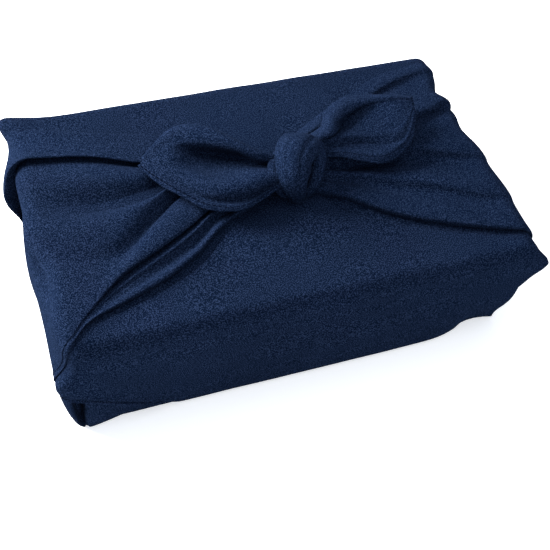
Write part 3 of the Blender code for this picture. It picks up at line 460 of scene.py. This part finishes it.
def curve(stations, values, at):
    """Return a smooth curve through values at rising stations, read at the places in at."""
    stations, values, at = (np.asarray(a, float) for a in (stations, values, at))
    slopes = np.gradient(values, stations, axis=0)
    k = np.clip(np.searchsorted(stations, at, side="right") - 1, 0, len(stations) - 2)
    step = stations[k + 1] - stations[k]
    t = (at - stations[k]) / step
    if values.ndim > 1:
        t, step = t[:, None], step[:, None]
    start = values[k] * (1 + 2 * t) * (1 - t) ** 2 + slopes[k] * step * t * (1 - t) ** 2
    end = values[k + 1] * t**2 * (3 - 2 * t) + slopes[k + 1] * step * t**2 * (t - 1)
    return start + end


def outward(points):
    """Return the plain box's outward direction at points near its surface."""
    halves = np.array((LENGTH, DEPTH, HEIGHT)) / 2 - ROUNDING
    local = points - np.array((0, 0, HEIGHT / 2))
    out = local - np.clip(local, -halves, halves)
    return out / np.maximum(np.linalg.norm(out, axis=1), 1e-9)[:, None]


def fold_lift(points, sheet):
    """Return how far the soft folds of a sheet lift it at each of its points."""
    lift = np.zeros(len(points))
    for name, width, places in FOLDS:
        if name != sheet:
            continue
        path = curve(np.arange(len(places)), places, np.linspace(0, len(places) - 1, FOLD_STEPS))
        best, height = np.full(len(points), np.inf), np.zeros(len(points))
        for start, end in zip(path[:-1], path[1:]):
            along = end[:3] - start[:3]
            t = np.clip((points - start[:3]) @ along / (along @ along), 0, 1)
            far = np.linalg.norm(points - start[:3] - t[:, None] * along, axis=1)
            nearer = far < best
            best[nearer] = far[nearer]
            height[nearer] = (start[3] + t * (end[3] - start[3]))[nearer]
        lift += height * np.exp(-((best / width) ** 2))
    return lift


def settle(points, sheet=""):
    """Move points on the plain box to where the cloth of the bundle really lies."""
    p = np.array(points, float).reshape(-1, 3)
    height = np.clip(p[:, 2] / HEIGHT, 0, 1)
    out = outward(p)
    wave = np.array([noise.noise(q * WAVES) for q in p]) * UNEVEN
    places = p + np.array(CENTRE)
    lift = fold_lift(places, sheet) + wave
    belly = WALL_BULGE * np.sin(pi * height)
    for axis, half in ((0, LENGTH / 2), (1, DEPTH / 2)):
        share = p[:, axis] / half
        p[:, axis] += share * (belly - FOOT_INSET * (1 - height) ** 3) * np.minimum(1, abs(share))
    p += np.array(CENTRE)
    moved = np.zeros_like(p)
    for _, x, y, z, reach_x, reach_y, reach_z, *by in PUSHES:
        far = (p - (x, y, z)) / (reach_x, reach_y, reach_z)
        moved += np.exp(-(far**2).sum(axis=1))[:, None] * by
    moved += out * lift[:, None]
    moved[:, 2] *= height  # the foot stays on the ground
    return (p + moved).reshape(np.shape(points))


def new_object(name, points, faces):
    """Add a smooth mesh object in the frame's own place."""
    mesh = bpy.data.meshes.new(name)
    mesh.from_pydata((np.reshape(points, (-1, 3)) - np.array(MIDDLE)).tolist(), [], faces)
    mesh.shade_smooth()
    made = bpy.data.objects.new(name, mesh)
    bpy.context.scene.collection.objects.link(made)
    return made


def side_stations(half, cells):
    """Return the grid stations along one side of the box, with EDGE_CELLS round each edge."""
    round_edge = [half - ROUNDING * (1 - k / EDGE_CELLS) for k in range(EDGE_CELLS + 1)]
    flat = np.linspace(-half + ROUNDING, half - ROUNDING, cells + 1)
    return np.array([-s for s in reversed(round_edge)] + list(flat[1:-1]) + round_edge)


def box_grid(cells):
    """Return the grid points and faces of a plain sharp box, and the axis and end of each face."""
    halves = np.array((LENGTH, DEPTH, HEIGHT)) / 2
    sides = [side_stations(half, n) for half, n in zip(halves, cells)]
    last = [len(side) - 1 for side in sides]
    index, points, faces, face_side = {}, [], [], []

    def corner(*ijk):
        if ijk not in index:
            index[ijk] = len(points)
            points.append([side[n] for side, n in zip(sides, ijk)])
        return index[ijk]

    for axis in range(3):
        u, v = (axis + 1) % 3, (axis + 2) % 3
        for end in (0, last[axis]):
            for i in range(last[u]):
                for j in range(last[v]):
                    ring = []
                    for di, dj in ((0, 0), (1, 0), (1, 1), (0, 1)):
                        ijk = [0, 0, 0]
                        ijk[axis], ijk[u], ijk[v] = end, i + di, j + dj
                        ring.append(corner(*ijk))
                    faces.append(ring if end else ring[::-1])
                    face_side.append((axis, end > 0))
    return np.array(points), faces, face_side


def rounded(points, inside=0.0):
    """Round the sharp box's edges, stand it on the ground and shrink it by inside."""
    halves = np.array((LENGTH, DEPTH, HEIGHT)) / 2
    up = np.clip(points[:, 2:] / HEIGHT + 0.5, 0, 1)
    radius = FOOT_ROUNDING + (ROUNDING - FOOT_ROUNDING) * np.sqrt(up)
    inner = np.clip(points, radius - halves, halves - radius)
    out = points - inner
    out /= np.maximum(np.linalg.norm(out, axis=1), 1e-9)[:, None]
    stood = inner + out * (radius - inside) + (0, 0, HEIGHT / 2)
    stood[:, 2] -= inside * (1 - stood[:, 2] / HEIGHT)  # its foot stays on the ground
    return stood


def inner_layer():
    """The first layer: under the box and up its walls."""
    points, faces, _ = box_grid(INNER_CELLS)
    return new_object("inner_layer", settle(rounded(points, LAYER), "inner_layer"), faces)


def first_corner():
    """The front corner of the cloth, which comes up the front wall and lies flat on the top."""
    points, faces, face_side = box_grid(INNER_CELLS)
    kept = [ring for ring, (axis, end) in zip(faces, face_side) if axis == 2 and end]
    return new_object("first_corner", settle(rounded(points, LAYER / 2)), kept)


def outer_layer():
    """The second layer: from under the back, over the top and down the front, cut on a slant."""
    points, faces, face_side = box_grid(OUTER_CELLS)
    kept = []
    for ring, (axis, end) in zip(faces, face_side):
        middle = points[ring].mean(axis=0)
        height = middle[2] + HEIGHT / 2
        corner = abs(middle[1]) > DEPTH / 2 - ROUNDING and (middle[1] > 0 or height > FLAP_TOP)
        # of the side walls, only the strips by the corners and under the rim
        wall_kept = axis == 0 and (corner or height > HEIGHT - ROUNDING)
        if axis == 1 or (axis == 2 and end) or wall_kept:
            kept.append(ring)
    layer = new_object("outer_layer", rounded(points), kept)
    shape = bmesh.new()
    shape.from_mesh(layer.data)
    front_y = -DEPTH / 2 + ROUNDING
    for (x_top, z_top), (x_foot, z_foot) in (FLAP_LEFT, FLAP_RIGHT):
        side = 1 if x_top > 0 else -1
        low, high = Vector((x_foot, 0, z_foot)) - CENTRE, Vector((x_top, 0, z_top)) - CENTRE
        low.y = high.y = 0
        low, high = low - MIDDLE, high - MIDDLE
        across = Vector((0, 1, 0)).cross(high - low).normalized()
        across *= side if across.x > 0 else -side
        front = [f for f in shape.faces if f.calc_center_median().y < front_y]
        edges = {edge for face in front for edge in face.edges}
        corners = {vert for face in front for vert in face.verts}
        parts = list(edges | corners) + front
        bmesh.ops.bisect_plane(shape, geom=parts, plane_co=low, plane_no=across)
        gone = []
        for face in shape.faces:
            at = face.calc_center_median()
            if at.y < front_y and (at - low).dot(across) > 0:
                gone.append(face)
        bmesh.ops.delete(shape, geom=gone, context="FACES")
    bmesh.ops.delete(shape, geom=[v for v in shape.verts if not v.link_faces], context="VERTS")
    shape.to_mesh(layer.data)
    shape.free()
    place = np.array([v.co for v in layer.data.vertices]) + np.array(MIDDLE)
    moved = settle(place, "outer_layer") - np.array(MIDDLE)
    layer.data.vertices.foreach_set("co", moved.ravel())
    layer.data.shade_smooth()
    return layer


def over_rim(run, side):
    """Return the points and outward normals at run along the wall, round the rim and inwards."""
    wall = HEIGHT - ROUNDING
    turn = np.clip((run - wall) / ROUNDING, 0, pi / 2)
    inwards = np.maximum(run - wall - ROUNDING * pi / 2, 0)
    out = LENGTH / 2 - ROUNDING * (1 - np.cos(turn)) - inwards
    up = np.minimum(run, wall) + ROUNDING * np.sin(turn)
    return np.stack([side * out, up], 1), np.stack([side * np.cos(turn), np.sin(turn)], 1)


def wing_runs(side):
    """Return how far along over_rim each of a wing's ten stations is."""
    rim = HEIGHT - ROUNDING + ROUNDING * pi / 4
    flat = HEIGHT - ROUNDING + ROUNDING * pi / 2 + LENGTH / 2 - ROUNDING
    return list(WALL_AT) + [rim] + [flat - (x - side * CENTRE.x) for x in TOP_AT]


def grid_faces(rows, columns, flip=False):
    """Return the faces of a grid of points."""
    faces = []
    for i in range(rows - 1):
        for j in range(columns - 1):
            a = i * columns + j
            ring = [a, a + 1, a + columns + 1, a + columns]
            faces.append(ring[::-1] if flip else ring)
    return faces


def wing(name, pleats, side):
    """One wing: its pleats run up the wall, over the rim and into the knot."""
    stations = wing_runs(side)
    run = np.linspace(stations[0], stations[-1], WING_CELLS[0] + 1)
    lines = np.array([[y, lift] for _, y, lift in pleats]) * MM
    count = len(lines)
    lines = curve(stations, lines.reshape(count * 2, -1).T, run).T.reshape(count, -1)
    spots = np.linspace(0, count - 1, (count - 1) * WING_CELLS[1] + 1)
    y, lift = np.split(curve(np.arange(count), lines, spots), 2, axis=1)
    base, normal = over_rim(run, side)
    past = np.clip(abs(y.T - CENTRE.y) - (DEPTH / 2 - ROUNDING), 0, ROUNDING)
    lift = lift.T - ROUNDING + np.sqrt(ROUNDING**2 - past**2)  # round the box's corners
    xz = base[:, None] + normal[:, None] * lift[:, :, None]
    points = np.stack([xz[..., 0], y.T - CENTRE.y, xz[..., 1]], 2)
    return new_object(name, settle(points, name), grid_faces(len(run), len(spots), flip=side < 0))


def strand(name, rows, creases=()):
    """One rolled strand of the knot, a tube with a flattened section."""
    rows = np.array(rows)
    along, around = STRAND_CELLS
    read = curve(np.arange(len(rows)), rows, np.linspace(0, len(rows) - 1, along + 1))
    path = read[:, :3]
    ahead = np.gradient(path, axis=0)
    ahead /= np.linalg.norm(ahead, axis=1)[:, None]
    out = path - (rows[:, :3].mean(axis=0) - (0, 0, KNOT_DROP))
    out -= ahead * (out * ahead).sum(axis=1)[:, None]
    out /= np.linalg.norm(out, axis=1)[:, None]
    across = np.cross(ahead, out)
    angle = np.linspace(0, 2 * pi, around, endpoint=False)
    size = np.ones(around)
    for at, depth, width in creases:
        size -= depth * np.exp(-(((angle - radians(at)) / radians(width)) ** 2))
    wide = across[:, None] * (np.cos(angle) * size)[:, None] * read[:, 3, None, None]
    thick = out[:, None] * (np.sin(angle) * size)[:, None] * read[:, 4, None, None]
    ring = path[:, None] + wide + thick
    faces = []
    for i in range(along):
        for j in range(around):
            a, b = i * around + j, i * around + (j + 1) % around
            faces.append([a, b, b + around, a + around])
    return new_object(name, ring, faces)


def seam_row():
    """Return which row of an ear's grid its stitches run along."""
    return round(STITCH_LINE * EAR_CELLS[1])


def leaf_points(folds):
    """Return the grid of points of a leaf of cloth drawn through its folds."""
    lines = np.array(folds)
    count, places = lines.shape[:2]
    along, across = EAR_CELLS[0], (count - 1) * EAR_CELLS[1]
    lines = lines.transpose(1, 0, 2).reshape(places, -1)
    read = curve(np.arange(places), lines, np.linspace(0, places - 1, along + 1))
    read = read.reshape(along + 1, count, 3).transpose(1, 0, 2).reshape(count, -1)
    points = curve(np.arange(count), read, np.linspace(0, count - 1, across + 1))
    return points.reshape(across + 1, along + 1, 3)


def leaf(name, folds, seam=0.0):
    """One leaf of cloth, with the thickness of its hem and its stitched line pressed in by seam."""
    points = leaf_points(folds)
    points[seam_row(), :, 2] -= seam
    made = new_object(name, points, grid_faces(*points.shape[:2]))
    thick = made.modifiers.new("thickness", "SOLIDIFY")
    thick.thickness = HEM_THICK
    thick.offset = 0
    return made


def tuck():
    """The front left corner's own folds."""
    rows = [[(x * MM, y * MM, z) for x, y, z in zip(xs, ys, TUCK_AT)] for _, xs, ys in TUCK]
    return leaf("tuck", rows)


def flap_hem():
    """The rolled hem along the flap's slanted left edge, a little proud of the front wall."""
    (x_top, z_top), (x_foot, z_foot) = FLAP_LEFT
    slope = (z_top - z_foot) / (x_top - x_foot)
    x = np.linspace(-LENGTH / 2 + CENTRE.x, x_foot - FLAP_HEM_END, FLAP_HEM_STEPS)
    z = z_top + (x - x_top) * slope
    edge = np.stack([x - CENTRE.x, np.full(len(x), -DEPTH / 2), z - HEIGHT / 2], 1)
    rows = [(*p, HEM_ROLL, HEM_ROLL) for p in settle(rounded(edge), "outer_layer")]
    return strand("flap_hem", rows)


def stitches(folds):
    """The stitches along one ear's hem, each a short thread lying on the cloth."""
    points = leaf_points(folds)
    row, inner = points[seam_row()], points[seam_row() + 1]
    run = np.concatenate([[0], np.cumsum(np.linalg.norm(np.diff(row, axis=0), axis=1))])
    length, gap, half = STITCH
    starts = np.arange(gap, run[-1] - length, length + gap)
    verts, faces = [], []
    for start in starts:
        here, there, side = (
            np.array([np.interp(at, run, values[:, k]) for k in range(3)])
            for at, values in ((start, row), (start + length, row), (start, inner - row))
        )
        ahead = there - here
        up = np.cross(ahead, side)
        up *= np.sign(up[2]) / np.linalg.norm(up)
        across = np.cross(up, ahead)
        across /= np.linalg.norm(across)
        base = len(verts)
        on_cloth = up * HEM_THICK / 2
        middle = (here + there) / 2 + up * (HEM_THICK / 2 + half)
        sections = ((here + on_cloth, STITCH_END), (middle, 1.0), (there + on_cloth, STITCH_END))
        for centre, size in sections:
            for u, v in ((1, 0), (0, 1), (-1, 0), (0, -1)):
                verts.append(centre + half * size * (across * u + up * v))
        for k in range(2):
            for j in range(4):
                a, b = base + 4 * k + j, base + 4 * k + (j + 1) % 4
                faces.append([a, b, b + 4, a + 4])
        faces += [[base + 3, base + 2, base + 1, base], [base + 8, base + 9, base + 10, base + 11]]
    return new_object("stitches", np.array(verts), faces)


def joined(name, pieces):
    """Return one object that holds every piece as it is now."""
    bpy.context.view_layer.update()
    graph = bpy.context.evaluated_depsgraph_get()
    shape = bmesh.new()
    for piece in pieces:
        mesh = bpy.data.meshes.new_from_object(piece.evaluated_get(graph))
        shape.from_mesh(mesh)
        bpy.data.meshes.remove(mesh)
        bpy.data.objects.remove(piece, do_unlink=True)
    mesh = bpy.data.meshes.new(name)
    shape.to_mesh(mesh)
    shape.free()
    mesh.shade_smooth()
    made = bpy.data.objects.new(name, mesh)
    bpy.context.scene.collection.objects.link(made)
    return made


# ---------------------------------------------------------------- material
def node(tree, kind, **values):
    """Add a shader node and set its inputs by name."""
    made = tree.nodes.new(kind)
    for name, value in values.items():
        if name in made.inputs:
            made.inputs[name].default_value = value
        else:
            setattr(made, name, value)
    return made


def crepe():
    """Navy crepe: a fine pebbled grain, light flecks, a soft sheen and a little unevenness."""
    material = bpy.data.materials.new("navy_crepe")
    material.use_nodes = True
    tree = material.node_tree
    shader = tree.nodes["Principled BSDF"]
    place = node(tree, "ShaderNodeTexCoord")
    grain = node(tree, "ShaderNodeTexNoise", Scale=GRAIN_SCALE, Detail=0.0)
    uneven = node(tree, "ShaderNodeTexNoise", Scale=TINT_SCALE, Detail=2.0, Roughness=0.5)
    for made in (grain, uneven):
        tree.links.new(place.outputs["Object"], made.inputs["Vector"])
    ramp = node(tree, "ShaderNodeValToRGB")
    stops = ramp.color_ramp.elements
    (stops[0].position, stops[0].color), middle, (stops[1].position, stops[1].color) = GRAIN
    stops.new(middle[0]).color = middle[1]
    tree.links.new(grain.outputs["Fac"], ramp.inputs["Fac"])
    tint = node(tree, "ShaderNodeMapRange")
    tint.inputs["From Min"].default_value, tint.inputs["From Max"].default_value = TINT_FROM
    tint.inputs["To Min"].default_value, tint.inputs["To Max"].default_value = TINT
    tree.links.new(uneven.outputs["Fac"], tint.inputs["Value"])
    shade = node(tree, "ShaderNodeVectorMath", operation="SCALE")
    tree.links.new(ramp.outputs["Color"], shade.inputs[0])
    tree.links.new(tint.outputs["Result"], shade.inputs["Scale"])
    tree.links.new(shade.outputs["Vector"], shader.inputs["Base Color"])
    bump = node(tree, "ShaderNodeBump", Strength=GRAIN_BUMP[0], Distance=GRAIN_BUMP[1])
    tree.links.new(grain.outputs["Fac"], bump.inputs["Height"])
    tree.links.new(bump.outputs["Normal"], shader.inputs["Normal"])
    shader.inputs["Roughness"].default_value = CREPE_ROUGHNESS
    shader.inputs["Specular IOR Level"].default_value = 0.0
    for part, value in zip(("Weight", "Roughness", "Tint"), SHEEN):
        shader.inputs[f"Sheen {part}"].default_value = value
    return material


def thread():
    """The stitches' darker twisted thread."""
    material = bpy.data.materials.new("navy_thread")
    material.use_nodes = True
    tree = material.node_tree
    shader = tree.nodes["Principled BSDF"]
    place = node(tree, "ShaderNodeTexCoord")
    twist = node(tree, "ShaderNodeTexNoise", Scale=THREAD_SCALE, Detail=1.0, Roughness=0.5)
    tree.links.new(place.outputs["Object"], twist.inputs["Vector"])
    ramp = node(tree, "ShaderNodeValToRGB")
    for stop, colour in zip(ramp.color_ramp.elements, THREAD):
        stop.color = colour
    tree.links.new(twist.outputs["Fac"], ramp.inputs["Fac"])
    tree.links.new(ramp.outputs["Color"], shader.inputs["Base Color"])
    bump = node(tree, "ShaderNodeBump", Strength=THREAD_BUMP[0], Distance=THREAD_BUMP[1])
    tree.links.new(twist.outputs["Fac"], bump.inputs["Height"])
    tree.links.new(bump.outputs["Normal"], shader.inputs["Normal"])
    shader.inputs["Roughness"].default_value = THREAD_ROUGHNESS
    shader.inputs["Specular IOR Level"].default_value = 0.0
    return material


# ---------------------------------------------------------------- stage
def floor_material():
    """A matt pale floor that glows a little."""
    material = bpy.data.materials.new("floor_white")
    material.use_nodes = True
    shader = material.node_tree.nodes["Principled BSDF"]
    shader.inputs["Base Color"].default_value = FLOOR_COLOUR
    shader.inputs["Roughness"].default_value = FLOOR_ROUGHNESS
    shader.inputs["Specular IOR Level"].default_value = 0.0
    shader.inputs["Emission Color"].default_value = (1, 1, 1, 1)
    shader.inputs["Emission Strength"].default_value = FLOOR_GLOW
    return material


def add_floor():
    """The plain floor."""
    mesh = bpy.data.meshes.new("floor")
    corners = [(x * FLOOR_REACH, y * FLOOR_REACH, 0) for x, y in ((-1, -1), (1, -1), (1, 1), (-1, 1))]
    mesh.from_pydata(corners, [], [(0, 1, 2, 3)])
    floor = bpy.data.objects.new("floor", mesh)
    floor.location.z = -FLOOR_DROP
    floor.data.materials.append(floor_material())
    bpy.context.scene.collection.objects.link(floor)


def add_lights():
    """The soft sky and the studio lamps, all turned to the bundle."""
    world = bpy.data.worlds.new("studio")
    world.use_nodes = True
    world.node_tree.nodes["Background"].inputs["Color"].default_value = SKY_COLOUR
    world.node_tree.nodes["Background"].inputs["Strength"].default_value = SKY_STRENGTH
    bpy.context.scene.world = world
    for name, at, size, power in LIGHTS:
        lamp = bpy.data.lights.new(name, "AREA")
        lamp.size = size
        lamp.energy = power
        made = bpy.data.objects.new(name, lamp)
        made.location = at
        made.rotation_euler = (-Vector(at)).to_track_quat("-Z", "Y").to_euler()
        bpy.context.scene.collection.objects.link(made)
    bpy.context.scene.view_settings.view_transform = "Standard"


def add_camera():
    """The camera, where the photo was taken from."""
    azimuth, elevation, roll = CAMERA_AZIMUTH, CAMERA_ELEVATION, CAMERA_ROLL
    back = Vector((sin(azimuth) * cos(elevation), -cos(azimuth) * cos(elevation), sin(elevation)))
    level = Vector((cos(azimuth), sin(azimuth), 0))
    over = back.cross(level)
    right = cos(roll) * level + sin(roll) * over
    up = cos(roll) * over - sin(roll) * level
    data = bpy.data.cameras.new("camera")
    data.sensor_width = SENSOR_MM
    data.lens = SENSOR_MM * FOCAL_PX / FRAME_PX
    data.clip_start = CLIP_START
    made = bpy.data.objects.new("camera", data)
    turn = Matrix((right, up, back)).transposed().to_4x4()
    made.matrix_world = Matrix.Translation(CAMERA_AT - MIDDLE) @ turn
    bpy.context.scene.collection.objects.link(made)
    bpy.context.scene.camera = made


# ---------------------------------------------------------------- the bundle
add_camera()
add_floor()
add_lights()
layers = [
    inner_layer(),
    first_corner(),
    outer_layer(),
    wing("left_wing", LEFT_WING, -1),
    wing("left_band", LEFT_BAND, -1),
    wing("right_wing", RIGHT_WING, 1),
    leaf("left_ear", list(LEFT_EAR.values()), SEAM),
    leaf("right_ear", list(RIGHT_EAR.values()), SEAM),
    tuck(),
    flap_hem(),
]
layers += [strand(name, rows, CREASES.get(name, ())) for name, rows in STRANDS.items()]
wrap = joined("furoshiki", layers)
wrap.data.materials.append(crepe())
threads = joined("hem_stitches", [stitches(list(e.values())) for e in (LEFT_EAR, RIGHT_EAR)])
threads.data.materials.append(thread())
for piece in (wrap, threads):
    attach(piece, "root")
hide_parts("cloth")
